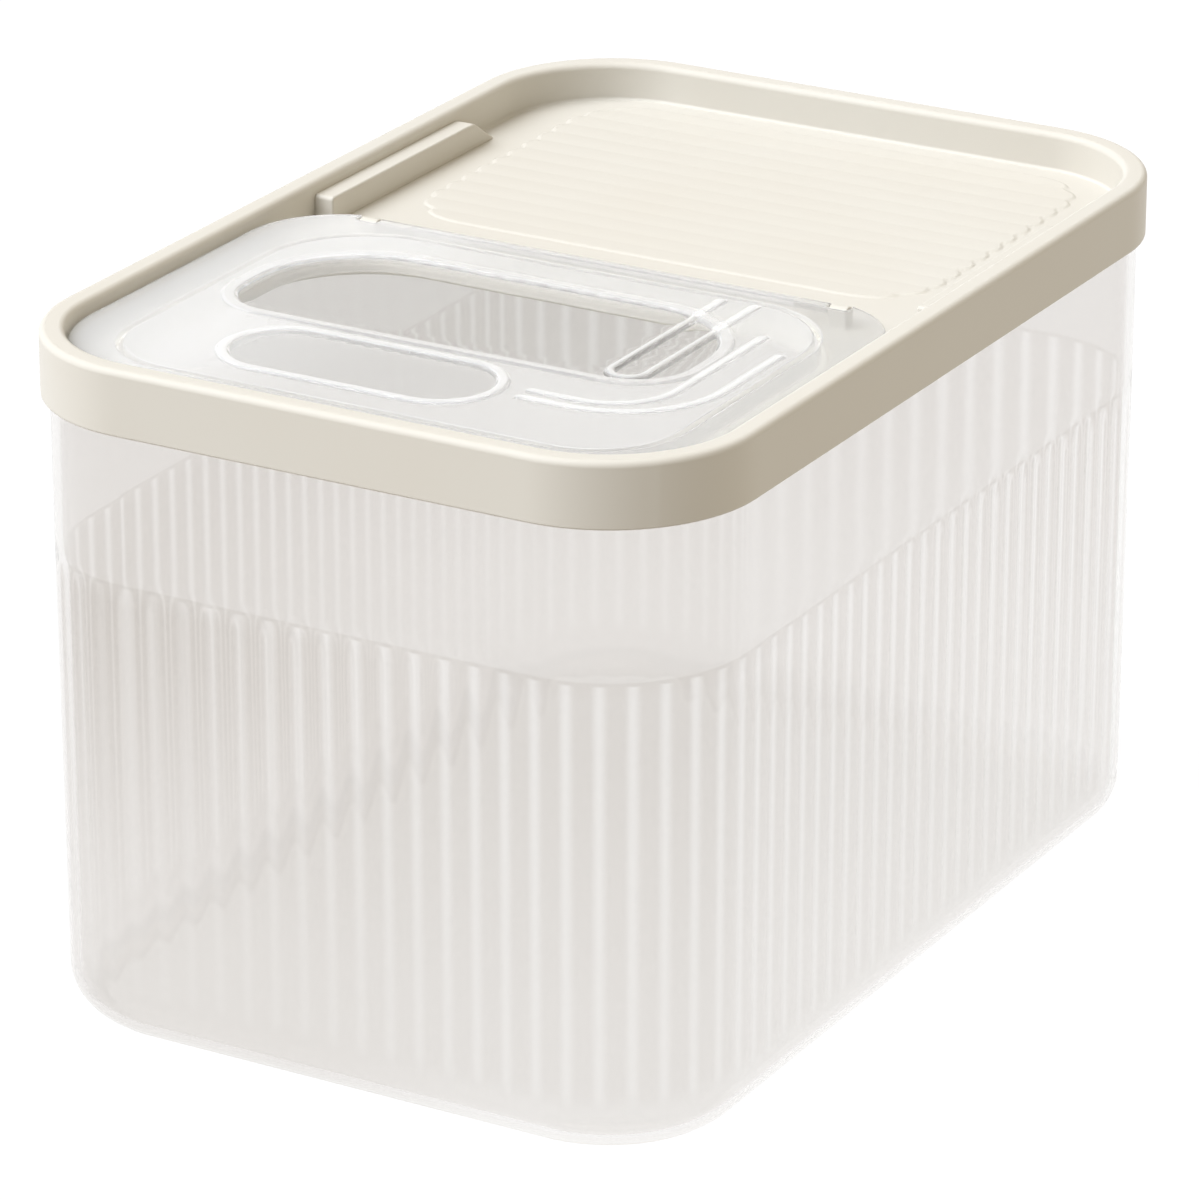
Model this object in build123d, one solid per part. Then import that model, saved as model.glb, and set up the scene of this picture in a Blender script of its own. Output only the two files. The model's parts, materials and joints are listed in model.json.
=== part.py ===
from build123d import *
import math
import os

# Frame: origin at the centre of the base, X across the width, Y along the length, +Z up.
# The flip lid covers the front half, towards -Y. All sizes are in millimetres.

# Overall sizes
WIDTH = 226.0
LENGTH = 330.0
HEIGHT = 212.0
CORNER_R = 46.0

# Clear bin
BODY_WALL = 2.4
BODY_FLOOR = 3.0
BODY_BASE_R = 14.0
BODY_DRAFT = 0.7
BODY_TOP_BELOW_RIM = 6.0
BAND_BOTTOM_Z = 145.0
FLUTE_PITCH = 9.3
FLUTE_DEPTH = 1.0
FLUTE_LAND = 0.2
FLUTE_START_Z = 19.0
BASE_RECESS = 0.8
BASE_RING = 9.0

# Lid frame
SKIRT_HEIGHT = 20.0
SKIRT_WALL = 2.2
TOP_WALL = 2.2
RIM_INNER_WALL = 2.2
RIM_TOP_R = 2.0
DECK_BELOW_RIM = 12.0
DECK_THICK = 2.5
LEDGE_WIDTH = 6.5
LEDGE_BELOW_RIM = 4.5
LEDGE_FRONT_Y = 4.0
LEDGE_BACK_Y = 100.0
LEDGE_TAPER = 12.0

# Fluted field on the rear deck
FIELD_SIDE_MARGIN = 17.5
FIELD_FRONT_Y = 21.0
FIELD_BACK_MARGIN = 6.5
FIELD_CORNER_R = 24.0
FIELD_RIB_PITCH = 9.3
FIELD_RIB_HEIGHT = 0.7

# Pouring opening in the front deck
OPENING_SIDE_LEDGE = 12.5
OPENING_BACK_Y = -11.0
OPENING_FRONT_LEDGE = 8.5
OPENING_BACK_R = 36.0
OPENING_FRONT_R = 30.0
LIP_DEPTH = 6.5
LIP_WALL = 2.0

# Clear flip lid
FLIP_BELOW_RIM = 4.0
FLIP_THICK = 2.4
FLIP_BACK_R = 30.0
FLIP_EDGE_R = 0.7
PLUG_HEIGHT = 11.0
PLUG_WALL = 2.0
WINDOW_LEFT_X = -80.0
WINDOW_RIGHT_X = 68.0
WINDOW_BACK_Y = -33.0
WINDOW_FRONT_Y = -92.0
WINDOW_BACK_R = 33.0
WINDOW_FRONT_R = 17.0
WINDOW_DEPTH = 0.9
LIP_RIDGE_WIDTH = 4.0
LIP_RIDGE_HEIGHT = 1.0
PAD_CENTRE_X = -14.0
PAD_CENTRE_Y = -117.5
PAD_LENGTH = 90.0
PAD_BREADTH = 38.0
PAD_RIDGE_WIDTH = 3.2
PAD_RIDGE_HEIGHT = 1.4
PAD_DEPTH = 0.6
RIB_WIDTH = 2.6
RIB_HEIGHT = 1.2
HAIRPIN_X = 53.5
HAIRPIN_SPREAD = 11.0
HAIRPIN_BACK_Y = -20.0
HAIRPIN_FRONT_Y = -84.0
SIDE_RIB_X = 73.5
SIDE_RIB_STEP = 11.5
SIDE_RIB_BACK_Y = -42.0
SIDE_RIB_FRONT_Y = -112.0
SIDE_RIB_INNER_X = 38.0
SIDE_RIB_BEND_R = 20.0
SIDE_RIB_COUNT = 2

# Hinge of the flip lid
HINGE_BARREL_R = 2.4
HINGE_PIN_R = 1.2
HINGE_PIN_IN_BARREL = 11.0
HINGE_BEHIND_OPENING = 5.0
BARREL_BELOW_FLIP_TOP = 0.1
BARREL_SIDE_MARGIN = 28.8
LUG_WIDTH = 6.0

# Seals
FLIP_SEAL_HEIGHT = 2.8
FLIP_SEAL_PROUD = 2.0
FLIP_SEAL_GROOVE = 0.8
FLIP_SEAL_ABOVE_PLUG_END = 2.0
SEAL_EDGE_R = 0.5

# Clearances
LID_OUTER_GAP = 0.4
LID_INNER_GAP = 0.3
SEAL_SIDE_GAP = 0.1
SEAL_TOUCH_GAP = 0.3
FLIP_EDGE_GAP = 0.8
FLIP_SEAL_GAP = 0.5
LUG_SIDE_GAP = 0.5
LUG_FRONT_GAP = 0.6
PIN_RUNNING_GAP = 0.05

# How far a fillet stops short of a full half circle, and how near counts as on a line
NEARLY = 0.01

# Worked out from the sizes above
half_x = WIDTH / 2
half_y = LENGTH / 2
deck_z = HEIGHT - DECK_BELOW_RIM
deck_under_z = deck_z - DECK_THICK
skirt_bottom_z = HEIGHT - SKIRT_HEIGHT
channel_roof_z = HEIGHT - TOP_WALL
body_inset = SKIRT_WALL + LID_OUTER_GAP
body_inner_inset = body_inset + BODY_WALL
rim_outer_inset = body_inner_inset + LID_INNER_GAP
rim_inner_inset = rim_outer_inset + RIM_INNER_WALL
body_top_z = HEIGHT - BODY_TOP_BELOW_RIM
flip_top_z = HEIGHT - FLIP_BELOW_RIM
flip_under_z = flip_top_z - FLIP_THICK
flip_half_x = half_x - rim_inner_inset - FLIP_EDGE_GAP
flip_front_y = -(half_y - rim_inner_inset - FLIP_EDGE_GAP)
flip_front_r = CORNER_R - rim_inner_inset - FLIP_EDGE_GAP
flip_root_z = flip_top_z - FLIP_THICK / 2
hinge_z = flip_top_z - HINGE_BARREL_R - BARREL_BELOW_FLIP_TOP
hinge_y = OPENING_BACK_Y + HINGE_BEHIND_OPENING
barrel_half_x = flip_half_x - BARREL_SIDE_MARGIN
lug_inner_x = barrel_half_x + LUG_SIDE_GAP
lug_centre_x = lug_inner_x + LUG_WIDTH / 2
flip_back_y = hinge_y + HINGE_BARREL_R
lid_seal_bottom_z = body_top_z + SEAL_TOUCH_GAP
field_half_x = half_x - rim_inner_inset - FIELD_SIDE_MARGIN
field_back_y = half_y - rim_inner_inset - FIELD_BACK_MARGIN
opening_half_x = half_x - rim_inner_inset - OPENING_SIDE_LEDGE
opening_front_y = -(half_y - rim_inner_inset - OPENING_FRONT_LEDGE)
plug_inset = FLIP_SEAL_GAP + FLIP_SEAL_PROUD
plug_bottom_z = flip_under_z - PLUG_HEIGHT
flip_seal_bottom_z = plug_bottom_z + FLIP_SEAL_ABOVE_PLUG_END
flip_seal_top_z = flip_seal_bottom_z + FLIP_SEAL_HEIGHT

LOW = (Align.CENTER, Align.CENTER, Align.MIN)


def rounded_plate(inset, corner_r, low_z, high_z):
    """The bin's plan outline, drawn in by inset, as a plate from low_z to high_z."""
    outline = RectangleRounded(2 * (half_x - inset), 2 * (half_y - inset), corner_r)
    return extrude(Pos(0, 0, low_z) * outline, high_z - low_z)


def ring(outer_inset, inner_inset, low_z, high_z):
    """A wall that follows the bin's plan outline between two insets."""
    outer = rounded_plate(outer_inset, CORNER_R - outer_inset, low_z, high_z)
    inner = rounded_plate(inner_inset, CORNER_R - inner_inset, low_z, high_z)
    return outer - inner


def two_radius_outline(left_x, right_x, front_y, back_y, front_r, back_r):
    """A rectangle with one radius at its front corners and another at its back corners."""
    breadth = right_x - left_x
    depth = back_y - front_y
    centre = Pos((left_x + right_x) / 2, (front_y + back_y) / 2)
    face = Rectangle(breadth, depth)
    corners = face.vertices().group_by(Axis.Y)
    face = fillet(corners[-1], back_r)
    corners = face.vertices().filter_by(lambda v: abs(v.Y + depth / 2) < NEARLY)
    face = fillet(corners, front_r)
    return centre * face


def opening_outline(inset):
    """The pouring opening's outline, drawn in by inset."""
    return two_radius_outline(
        -opening_half_x + inset,
        opening_half_x - inset,
        opening_front_y + inset,
        OPENING_BACK_Y - inset,
        OPENING_FRONT_R - inset,
        OPENING_BACK_R - inset,
    )


def slab(outline, low_z, high_z):
    """A flat outline made solid between two heights."""
    return extrude(Pos(0, 0, low_z) * outline, high_z - low_z)


def flute_stations(inset):
    """Points on the plan outline with outward normals, one at each ridge and one midway."""
    radius = CORNER_R - inset
    run_x = half_x - inset - radius
    run_y = half_y - inset - radius
    count_x = max(2, round(2 * run_x / FLUTE_PITCH))
    count_y = max(2, round(2 * run_y / FLUTE_PITCH))
    count_r = max(2, round(math.pi / 2 * radius / FLUTE_PITCH))
    stations = []
    for quarter in range(4):
        turn = quarter * 90
        along_x = quarter % 2 == 0
        count = count_x if along_x else count_y
        half_run = run_x if along_x else run_y
        reach = half_y - inset if along_x else half_x - inset
        for step in range(2 * count):
            slide = -half_run + step * half_run / count
            stations.append((turn, slide, -reach, 270))
        side_x = run_x if along_x else run_y
        side_y = run_y if along_x else run_x
        for step in range(2 * count_r):
            angle = 270 + step * 90 / (2 * count_r)
            across = side_x + radius * math.cos(math.radians(angle))
            out = -side_y + radius * math.sin(math.radians(angle))
            stations.append((turn, across, out, angle))
    points = []
    for turn, across, out, angle in stations:
        cos_t = math.cos(math.radians(turn))
        sin_t = math.sin(math.radians(turn))
        place = (across * cos_t - out * sin_t, across * sin_t + out * cos_t)
        normal = math.radians(angle + turn)
        points.append((place, (math.cos(normal), math.sin(normal))))
    return points


def fluted_outline(inset, depth):
    """Scallops that bulge outwards by depth between ridges on the outline at inset."""
    stations = flute_stations(inset)
    edges = []
    for index in range(0, len(stations), 2):
        start = stations[index][0]
        middle, normal = stations[index + 1]
        crest = (middle[0] + normal[0] * depth, middle[1] + normal[1] * depth)
        end = stations[(index + 2) % len(stations)][0]
        edges.append(ThreePointArc(start, crest, end))
    return make_face(Curve() + edges)


def make_bin_body():
    """The clear bin: drafted shell, smooth top band, fluted inside, shallow recess under it."""
    low = RectangleRounded(
        2 * (half_x - body_inset - BODY_DRAFT),
        2 * (half_y - body_inset - BODY_DRAFT),
        CORNER_R - body_inset - BODY_DRAFT,
    )
    high = RectangleRounded(
        2 * (half_x - body_inset), 2 * (half_y - body_inset), CORNER_R - body_inset
    )
    shell = loft([low, Pos(0, 0, BAND_BOTTOM_Z) * high])
    shell = fillet(shell.edges().group_by(Axis.Z)[0], BODY_BASE_R)
    shell += rounded_plate(body_inset, CORNER_R - body_inset, BAND_BOTTOM_Z, body_top_z)
    ridge_inset = body_inner_inset + FLUTE_LAND + FLUTE_DEPTH
    low_inset = ridge_inset + FLUTE_LAND
    hollow = rounded_plate(low_inset, CORNER_R - low_inset, BODY_FLOOR, FLUTE_START_Z)
    inner_base_r = BODY_BASE_R - BODY_FLOOR
    hollow = fillet(hollow.edges().group_by(Axis.Z)[0], inner_base_r)
    band_hollow = rounded_plate(
        body_inner_inset, CORNER_R - body_inner_inset, BAND_BOTTOM_Z, body_top_z
    )
    flutes = slab(fluted_outline(ridge_inset, FLUTE_DEPTH), FLUTE_START_Z, BAND_BOTTOM_Z)
    recess_inset = body_inset + BODY_DRAFT + BODY_BASE_R + BASE_RING
    recess = rounded_plate(recess_inset, CORNER_R - body_inset - BODY_BASE_R, 0, BASE_RECESS)
    return shell - hollow - band_hollow - flutes - recess


def make_ledge(side):
    """A stacking ledge along the rim's inner wall, sloped down at its back end."""
    wall_x = half_x - rim_inner_inset
    top_z = HEIGHT - LEDGE_BELOW_RIM
    profile = Polyline(
        (LEDGE_FRONT_Y, deck_under_z),
        (LEDGE_FRONT_Y, top_z),
        (LEDGE_BACK_Y - LEDGE_TAPER, top_z),
        (LEDGE_BACK_Y, deck_z),
        (LEDGE_BACK_Y, deck_under_z),
        close=True,
    )
    face = Plane.YZ * make_face(profile)
    reach = LEDGE_WIDTH + RIM_INNER_WALL / 2
    bar = extrude(face, reach)
    inner_face_x = wall_x - LEDGE_WIDTH
    start_x = inner_face_x if side > 0 else -inner_face_x - reach
    return Pos(start_x, 0, 0) * bar


def make_rib_field():
    """Low round ribs across the rear deck, inside a rounded rectangle."""
    span = field_back_y - FIELD_FRONT_Y
    count = max(2, round(span / FIELD_RIB_PITCH))
    pitch = span / count
    root_z = deck_z - DECK_THICK / 2
    edges = []
    for index in range(count):
        near = FIELD_FRONT_Y + index * pitch
        edges.append(
            ThreePointArc(
                (near, deck_z), (near + pitch / 2, deck_z + FIELD_RIB_HEIGHT), (near + pitch, deck_z)
            )
        )
    edges.append(Line((field_back_y, deck_z), (field_back_y, root_z)))
    edges.append(Line((field_back_y, root_z), (FIELD_FRONT_Y, root_z)))
    edges.append(Line((FIELD_FRONT_Y, root_z), (FIELD_FRONT_Y, deck_z)))
    ribs = extrude(Plane.YZ * make_face(Curve() + edges), field_half_x, both=True)
    outline = Pos(0, (field_back_y + FIELD_FRONT_Y) / 2) * RectangleRounded(
        2 * field_half_x, span, FIELD_CORNER_R
    )
    return ribs & slab(outline, root_z, deck_z + FIELD_RIB_HEIGHT)


def make_lug(side):
    """A hinge lug that stands on the deck beside the end of the flip lid's barrel."""
    centre_x = side * lug_centre_x
    foot_z = deck_z - DECK_THICK / 2
    post = Pos(centre_x, hinge_y, foot_z) * Box(
        LUG_WIDTH, 2 * HINGE_BARREL_R, hinge_z - foot_z, align=LOW
    )
    head = Pos(centre_x, hinge_y, hinge_z) * Rot(0, 90, 0) * Cylinder(HINGE_BARREL_R, LUG_WIDTH)
    bore = Pos(centre_x, hinge_y, hinge_z) * Rot(0, 90, 0) * Cylinder(HINGE_PIN_R, 2 * LUG_WIDTH)
    return post + head - bore


def make_lid_frame():
    """The cream lid: skirt, hollow rim, deck, pouring opening, ledges, ribs and hinge lugs."""
    rim = rounded_plate(0, CORNER_R, skirt_bottom_z, HEIGHT)
    rim -= rounded_plate(
        rim_inner_inset, CORNER_R - rim_inner_inset, skirt_bottom_z, HEIGHT
    )
    rim = fillet(rim.edges().group_by(Axis.Z)[-1], RIM_TOP_R)
    rim -= ring(SKIRT_WALL, rim_outer_inset, skirt_bottom_z, channel_roof_z)
    rim -= ring(rim_outer_inset, rim_inner_inset, skirt_bottom_z, deck_under_z)
    deck = rounded_plate(rim_outer_inset, CORNER_R - rim_outer_inset, deck_under_z, deck_z)
    lip = slab(opening_outline(-LIP_WALL), deck_z - LIP_DEPTH, deck_z)
    deck += lip
    deck -= slab(opening_outline(0), deck_z - LIP_DEPTH, deck_z)
    frame = rim + deck + make_rib_field()
    for side in (-1, 1):
        frame += make_ledge(side)
        frame += make_lug(side)
    return frame


def make_lid_seal():
    """The soft ring in the lid's channel that sits on the bin's top edge."""
    outer_inset = SKIRT_WALL + SEAL_SIDE_GAP
    inner_inset = rim_outer_inset - SEAL_SIDE_GAP
    seal = ring(outer_inset, inner_inset, lid_seal_bottom_z, channel_roof_z)
    return fillet(seal.edges().group_by(Axis.Z)[0], SEAL_EDGE_R)


def window_outline(inset):
    """The flip lid's polished window, drawn in by inset."""
    return two_radius_outline(
        WINDOW_LEFT_X + inset,
        WINDOW_RIGHT_X - inset,
        WINDOW_FRONT_Y + inset,
        WINDOW_BACK_Y - inset,
        WINDOW_FRONT_R - inset,
        WINDOW_BACK_R - inset,
    )


def pad_outline(inset):
    """The grip pad's stadium outline, drawn in by inset."""
    long_side = PAD_LENGTH - 2 * inset
    short_side = PAD_BREADTH - 2 * inset
    pad = RectangleRounded(long_side, short_side, short_side / 2 - NEARLY)
    return Pos(PAD_CENTRE_X, PAD_CENTRE_Y) * pad


def rib_along(path, low_z, high_z):
    """A raised rib with one width along a flat path."""
    return slab(trace(path, RIB_WIDTH), low_z, high_z)


def make_flip_ribs():
    """The hairpin rib and the bent ribs at the right of the flip lid."""
    crest_z = flip_top_z + RIB_HEIGHT
    left_x = HAIRPIN_X - HAIRPIN_SPREAD / 2
    right_x = HAIRPIN_X + HAIRPIN_SPREAD / 2
    hairpin = Curve() + [
        Line((left_x, HAIRPIN_BACK_Y), (left_x, HAIRPIN_FRONT_Y)),
        ThreePointArc(
            (left_x, HAIRPIN_FRONT_Y),
            (HAIRPIN_X, HAIRPIN_FRONT_Y - HAIRPIN_SPREAD / 2),
            (right_x, HAIRPIN_FRONT_Y),
        ),
        Line((right_x, HAIRPIN_FRONT_Y), (right_x, HAIRPIN_BACK_Y)),
    ]
    ribs = rib_along(hairpin, flip_root_z, crest_z)
    for index in range(SIDE_RIB_COUNT):
        grow = index * SIDE_RIB_STEP
        bend = FilletPolyline(
            (SIDE_RIB_X + grow, SIDE_RIB_BACK_Y - grow),
            (SIDE_RIB_X + grow, SIDE_RIB_FRONT_Y - grow / 2),
            (SIDE_RIB_INNER_X, SIDE_RIB_FRONT_Y - grow / 2),
            radius=SIDE_RIB_BEND_R + grow,
        )
        ribs += rib_along(bend, flip_root_z, crest_z)
    return ribs


def make_flip_lid():
    """The clear flip lid: plate, hinge barrel, plug, window, grip pad and ribs."""
    outline = two_radius_outline(
        -flip_half_x, flip_half_x, flip_front_y, flip_back_y, flip_front_r, FLIP_BACK_R
    )
    plate = slab(outline, flip_under_z, flip_top_z)
    plate = fillet(plate.edges().group_by(Axis.Z)[-1], FLIP_EDGE_R)
    for side in (-1, 1):
        depth = 2 * (HINGE_BARREL_R + LUG_FRONT_GAP)
        plate -= Pos(side * lug_centre_x, hinge_y, flip_under_z) * Box(
            LUG_WIDTH + 2 * LUG_SIDE_GAP, depth, FLIP_THICK, align=LOW
        )
    barrel = Pos(0, hinge_y, hinge_z) * Rot(0, 90, 0) * Cylinder(HINGE_BARREL_R, 2 * barrel_half_x)
    plug = slab(opening_outline(plug_inset), plug_bottom_z, flip_under_z)
    plug -= slab(opening_outline(plug_inset + PLUG_WALL), plug_bottom_z, flip_under_z)
    groove = slab(opening_outline(plug_inset), flip_seal_bottom_z, flip_seal_top_z)
    groove_inset = plug_inset + FLIP_SEAL_GROOVE
    groove -= slab(opening_outline(groove_inset), flip_seal_bottom_z, flip_seal_top_z)
    lid = plate + barrel + plug - groove
    ridge = slab(window_outline(-LIP_RIDGE_WIDTH), flip_root_z, flip_top_z + LIP_RIDGE_HEIGHT)
    ridge -= slab(window_outline(0), flip_root_z, flip_top_z + LIP_RIDGE_HEIGHT)
    lid += ridge
    lid -= slab(window_outline(0), flip_top_z - WINDOW_DEPTH, flip_top_z)
    lid += make_flip_ribs()
    lid += slab(pad_outline(0), flip_root_z, flip_top_z + PAD_RIDGE_HEIGHT)
    lid -= slab(pad_outline(PAD_RIDGE_WIDTH), flip_top_z - PAD_DEPTH, flip_top_z + PAD_RIDGE_HEIGHT)
    bore_r = HINGE_PIN_R + PIN_RUNNING_GAP
    for side in (-1, 1):
        depth = HINGE_PIN_IN_BARREL + LUG_SIDE_GAP
        centre_x = side * (barrel_half_x - depth / 2)
        lid -= Pos(centre_x, hinge_y, hinge_z) * Rot(0, 90, 0) * Cylinder(bore_r, depth)
    return lid


def make_flip_seal():
    """The soft ring in the plug's groove, which closes on the opening's lip."""
    outer = slab(opening_outline(FLIP_SEAL_GAP), flip_seal_bottom_z, flip_seal_top_z)
    outer = fillet(outer.edges().filter_by(Plane.XY), SEAL_EDGE_R)
    groove_inset = plug_inset + FLIP_SEAL_GROOVE
    inner = slab(opening_outline(groove_inset), flip_seal_bottom_z, flip_seal_top_z)
    return outer - inner


def make_hinge_pin(side):
    """A pin from the outer face of a lug to the inside of the barrel."""
    inner_x = barrel_half_x - HINGE_PIN_IN_BARREL
    outer_x = lug_inner_x + LUG_WIDTH
    centre_x = side * (inner_x + outer_x) / 2
    pin = Rot(0, 90, 0) * Cylinder(HINGE_PIN_R, outer_x - inner_x)
    return Pos(centre_x, hinge_y, hinge_z) * pin


pieces = {
    "bin_body": make_bin_body(),
    "lid_frame": make_lid_frame(),
    "lid_seal": make_lid_seal(),
    "flip_lid": make_flip_lid(),
    "flip_seal": make_flip_seal(),
    "hinge_pin_left": make_hinge_pin(-1),
    "hinge_pin_right": make_hinge_pin(1),
}

os.makedirs("parts", exist_ok=True)
for name, piece in pieces.items():
    export_step(piece, f"parts/{name}.step")
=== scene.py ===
"""The look of a clear pet food bin with a cream lid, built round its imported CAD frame.

Sizes are in millimetres, in the CAD's own frame, and become metres where a mesh is made.
"""

from __future__ import annotations

import json
import logging
import math
from dataclasses import dataclass, field
from enum import Enum
from typing import Any, Callable, Iterable

import bpy
import numpy as np
from mathutils import Matrix, Vector
from mathutils.geometry import delaunay_2d_cdt

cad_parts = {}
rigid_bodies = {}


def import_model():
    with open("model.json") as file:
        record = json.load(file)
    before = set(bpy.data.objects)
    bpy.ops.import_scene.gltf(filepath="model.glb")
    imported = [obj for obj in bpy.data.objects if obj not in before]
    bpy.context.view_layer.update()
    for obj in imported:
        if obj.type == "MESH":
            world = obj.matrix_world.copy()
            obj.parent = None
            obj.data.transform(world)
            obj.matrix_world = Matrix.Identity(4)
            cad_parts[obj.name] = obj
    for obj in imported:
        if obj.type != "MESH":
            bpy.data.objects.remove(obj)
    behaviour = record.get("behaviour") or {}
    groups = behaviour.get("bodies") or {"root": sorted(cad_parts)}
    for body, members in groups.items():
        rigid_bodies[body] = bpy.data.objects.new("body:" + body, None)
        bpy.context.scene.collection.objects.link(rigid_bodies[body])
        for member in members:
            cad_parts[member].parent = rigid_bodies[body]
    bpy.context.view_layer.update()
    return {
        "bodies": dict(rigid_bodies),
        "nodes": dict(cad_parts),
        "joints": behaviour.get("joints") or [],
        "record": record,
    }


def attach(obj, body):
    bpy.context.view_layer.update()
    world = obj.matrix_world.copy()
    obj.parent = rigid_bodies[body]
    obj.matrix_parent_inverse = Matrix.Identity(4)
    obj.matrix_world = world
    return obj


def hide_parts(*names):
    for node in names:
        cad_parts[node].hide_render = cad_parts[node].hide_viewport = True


MM = 0.001
# the mesh attribute for the plastic's milkiness, which on the tub and the flip lid's plate also
# carries painted light and shade
HAZE_AND_PAINTED_LIGHT = "haze"
ARC_TURN = 0.16
LEAST_GAP = 1e-4
BORDER_GAP = 0.15
ROUND_GAP = 0.01
EDGE_SHARE = 0.98
ROW_SHARE = 0.87
TOLERANCE = 1e-6
SHARP_DEGREES = 50
NORMAL_WEIGHT = 80
log = logging.getLogger("bin")

Height = Callable[[np.ndarray], np.ndarray]
Section = list[tuple[float, float]]
Triple = tuple[float, float, float]
Pairs = tuple[tuple[float, float], ...]
Box = tuple[float, float, float, float]


class Body(Enum):
    """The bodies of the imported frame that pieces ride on."""

    BIN = "bin"
    LID = "lid"
    FLIP = "flip"


def linear(colour: str) -> tuple[float, float, float, float]:
    """Turns an sRGB hex colour into the linear colour that a shader socket takes.

    Args:
        colour: Six hex digits with a leading hash sign.

    Returns:
        Linear red, green and blue, with an alpha of one.
    """
    channels = [int(colour[i : i + 2], 16) / 255 for i in (1, 3, 5)]
    flat = [c / 12.92 if c <= 0.04045 else ((c + 0.055) / 1.055) ** 2.4 for c in channels]
    return (flat[0], flat[1], flat[2], 1.0)


def add_node(
    tree: bpy.types.NodeTree, kind: str, inputs: dict[Any, Any] | None = None, **settings: Any
) -> bpy.types.Node:
    """Adds one shader node, sets its properties and fills its inputs.

    Args:
        tree: The node tree that gets the node.
        kind: The node's type name without the leading ShaderNode.
        inputs: Input name or number to a value, or to the output socket that feeds it.
        **settings: The node's own properties.

    Returns:
        The new node.
    """
    node = tree.nodes.new("ShaderNode" + kind)
    for name, value in settings.items():
        setattr(node, name, value)
    for name, value in (inputs or {}).items():
        if isinstance(value, bpy.types.NodeSocket):
            tree.links.new(value, node.inputs[name])
        else:
            node.inputs[name].default_value = value
    return node


def new_material(name: str) -> tuple[bpy.types.Material, bpy.types.NodeTree]:
    """Makes a node material with an empty tree.

    Args:
        name: The material's name.

    Returns:
        The material and its tree.
    """
    material = bpy.data.materials.new(name)
    material.use_nodes = True
    material.node_tree.nodes.clear()
    return material, material.node_tree


@dataclass(frozen=True)
class CreamPolypropylene:
    """Moulded polypropylene.

    It gives the eye a soft satin sheen, a faint drift of tint where the melt flowed and a
    fine mould grain. Real mould grain is a tenth of a millimetre or so, too fine to show, and
    is drawn coarser here.
    """

    name: str = "cream_moulded_polypropylene"
    colour: str = "#CDCAC1"
    shade: str = "#CAC5BA"
    roughness: float = 0.42
    ior: float = 1.49
    flow_mm: float = 60.0
    grain_mm: float = 1.4
    grain_depth_mm: float = 0.1
    grain_strength: float = 0.05

    def build(self) -> bpy.types.Material:
        """Makes the material.

        Returns:
            The material.
        """
        material, tree = new_material(self.name)
        place = add_node(tree, "TexCoord").outputs["Object"]
        flow = add_node(tree, "TexNoise", {"Vector": place, "Scale": 1 / (self.flow_mm * MM)})
        shades = {0: flow.outputs["Fac"], 6: linear(self.colour), 7: linear(self.shade)}
        tint = add_node(tree, "Mix", shades, data_type="RGBA")
        grain = add_node(tree, "TexNoise", {"Vector": place, "Scale": 1 / (self.grain_mm * MM)})
        relief = {
            "Height": grain.outputs["Fac"],
            "Strength": self.grain_strength,
            "Distance": self.grain_depth_mm * MM,
        }
        surface = {
            "Base Color": tint.outputs[2],
            "Roughness": self.roughness,
            "IOR": self.ior,
            "Normal": add_node(tree, "Bump", relief).outputs["Normal"],
        }
        shader = add_node(tree, "BsdfPrincipled", surface)
        add_node(tree, "OutputMaterial", {"Surface": shader.outputs["BSDF"]})
        return material


@dataclass(frozen=True)
class ClearPlastic:
    """Clear moulded plastic whose own milkiness shows as a white haze.

    The mesh's haze says how bright, milky and satin it is from place to place; its brightness
    lightens the tint, and on the tub and the flip lid's plate it is painted light and shade. A
    slow ripple gives its reflections the small waves of a moulding. Light from lamps passes it, so
    that what is behind it is lit.
    """

    name: str
    colour: str
    # the tint where the haze is one: milky relief on the flip lid, painted highlight and painted
    # light on the tub
    bright: str
    least_haze: float = 0.0
    most_haze: float = 0.01
    polish: float = 0.015
    satin: float = 0.06
    ior: float = 1.5
    pass_colour: str = "#F4F3F1"
    ripple_mm: float = 35.0
    ripple_depth_mm: float = 0.4
    ripple_strength: float = 0.1

    def build(self) -> bpy.types.Material:
        """Makes the material.

        Returns:
            The material.
        """
        material, tree = new_material(self.name)
        place = add_node(tree, "TexCoord").outputs["Object"]
        ripple = add_node(tree, "TexNoise", {"Vector": place, "Scale": 1 / (self.ripple_mm * MM)})
        relief = {
            "Height": ripple.outputs["Fac"],
            "Strength": self.ripple_strength,
            "Distance": self.ripple_depth_mm * MM,
        }
        haze = add_node(tree, "Attribute", attribute_name=HAZE_AND_PAINTED_LIGHT).outputs["Fac"]
        # the haze lightens the tint towards bright, which is painted light and shade where the
        # haze carries it
        tints = {0: haze, 6: linear(self.colour), 7: linear(self.bright)}
        passing = {"Value": haze, "To Min": 1 - self.least_haze, "To Max": 1 - self.most_haze}
        rough = {"Value": haze, "To Min": self.polish, "To Max": self.satin}
        surface = {
            "Base Color": add_node(tree, "Mix", tints, data_type="RGBA").outputs[2],
            "Roughness": add_node(tree, "MapRange", rough).outputs["Result"],
            "IOR": self.ior,
            "Transmission Weight": add_node(tree, "MapRange", passing).outputs["Result"],
            "Normal": add_node(tree, "Bump", relief).outputs["Normal"],
        }
        shader = add_node(tree, "BsdfPrincipled", surface)
        window = add_node(tree, "BsdfTransparent", {"Color": linear(self.pass_colour)})
        to_lamp = add_node(tree, "LightPath").outputs["Is Shadow Ray"]
        either = {0: to_lamp, 1: shader.outputs["BSDF"], 2: window.outputs["BSDF"]}
        mix = add_node(tree, "MixShader", either)
        add_node(tree, "OutputMaterial", {"Surface": mix.outputs["Shader"]})
        return material


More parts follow.
